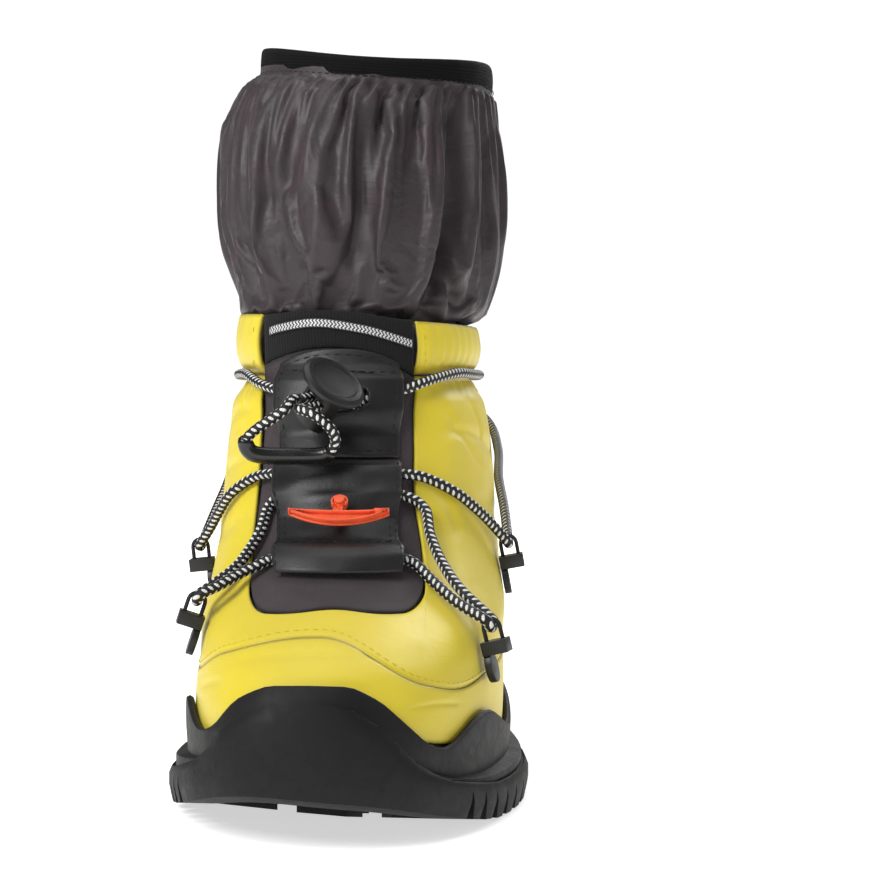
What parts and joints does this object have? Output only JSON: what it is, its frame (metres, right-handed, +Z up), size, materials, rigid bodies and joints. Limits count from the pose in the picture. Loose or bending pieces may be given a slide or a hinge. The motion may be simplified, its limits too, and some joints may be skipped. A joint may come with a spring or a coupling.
{
  "type": "winter mountain boot",
  "caption": "Ankle-high insulated boot with a padded shell, a rubber sole and toe cup, an elastic drawcord with a push-button lock, a rubber pull tab and a soft pull-up gaiter",
  "frame": {"origin": "on the ground, under the middle of the outsole's length and width", "axes": "+Z up, the toe towards -Y and the heel towards +Y, +X the lateral (outer) side of this left boot"},
  "size_m": [0.1225, 0.29, 0.2625],
  "materials": {
    "sole_rubber": "matte moulded rubber",
    "cup_rubber": "matte moulded rubber with a fine grain",
    "foam": "closed-cell foam",
    "board": "fibre board",
    "lining": "brushed fleece",
    "yellow_shell": "coated nylon with a soft sheen",
    "tongue_mauve": "matt soft shell",
    "knit_black": "fine rib knit",
    "reflective": "herringbone tape with a silver yarn",
    "patch_black": "synthetic leather, satin",
    "guide_plastic": "moulded nylon",
    "sling_cord": "tight braid",
    "lace": "black braid with white flecks",
    "lock_plastic": "moulded plastic",
    "tube_plastic": "glossy tube",
    "pull_orange": "soft moulded rubber-like plastic",
    "rivet": "plain steel",
    "steel": "plain steel",
    "gaiter_nylon": "thin nylon with a soft sheen",
    "band_elastic": "woven elastic"
  },
  "bodies": {
    "boot": {"outsole": "sole_rubber", "midsole_cup": "cup_rubber", "midsole_core": "foam", "shank": "steel", "insole_board": "board", "footbed": "lining", "lining_sock": "lining", "toe_vamp": "yellow_shell", "forefoot_shell": "yellow_shell", "rear_quarter": "yellow_shell", "collar": "yellow_shell", "tongue_panel": "tongue_mauve", "knit_cuff_band": "knit_black", "reflective_tape": "reflective", "upper_lace_patch": "patch_black", "lower_lace_flap": "patch_black", "heel_pull_loop": "knit_black", "guide_tab_lower_lateral": "guide_plastic", "guide_tab_lower_medial": "guide_plastic", "guide_tab_upper_lateral": "guide_plastic", "guide_tab_upper_medial": "guide_plastic", "guide_sling_lower_lateral": "sling_cord", "guide_sling_lower_medial": "sling_cord", "guide_sling_upper_lateral": "sling_cord", "guide_sling_upper_medial": "sling_cord", "lace_main": "lace", "lace_vamp": "lace", "pull_rivet": "rivet", "gaiter_sleeve": "gaiter_nylon"},
    "cord_lock": {"cord_lock_body": "lock_plastic", "cord_lock_spring": "steel"},
    "lock_button": {"cord_lock_button": "lock_plastic"},
    "pull_loop": {"pull_loop_cord": "lace", "pull_loop_tube": "tube_plastic"},
    "pull_tab": {"orange_pull": "pull_orange"},
    "gaiter_top": {"gaiter_band": "band_elastic"}
  },
  "joints": [
    {"name": "cord_lock_slide", "type": "slide", "parent": "boot", "child": "cord_lock", "axis": [-0.5797, -0.8084, -0.1024], "range_m": [0, 0.004]},
    {"name": "lock_button_press", "type": "slide", "parent": "cord_lock", "child": "lock_button", "axis": [-0.5401, 0.4752, -0.6946], "range_m": [0, 0.0018], "stiffness_N_per_m": 1500, "springref_m": -0.002, "deforming": ["cord_lock_spring"]},
    {"name": "pull_loop_swing", "type": "hinge", "parent": "boot", "child": "pull_loop", "pos_m": [-0.01782, -0.04349, 0.13209], "axis": [-0.6101, 0.3474, 0.7121], "range_deg": [0, 55]},
    {"name": "pull_tab_swivel", "type": "hinge", "parent": "boot", "child": "pull_tab", "pos_m": [-0.00319, -0.05233, 0.09795], "axis": [0.0038, -0.67, 0.7424], "range_deg": [-25, 25]},
    {"name": "gaiter_band_slide", "type": "slide", "parent": "boot", "child": "gaiter_top", "axis": [0, 0, -1], "range_m": [0, 0.06], "deforming": ["gaiter_sleeve"]}
  ]
}
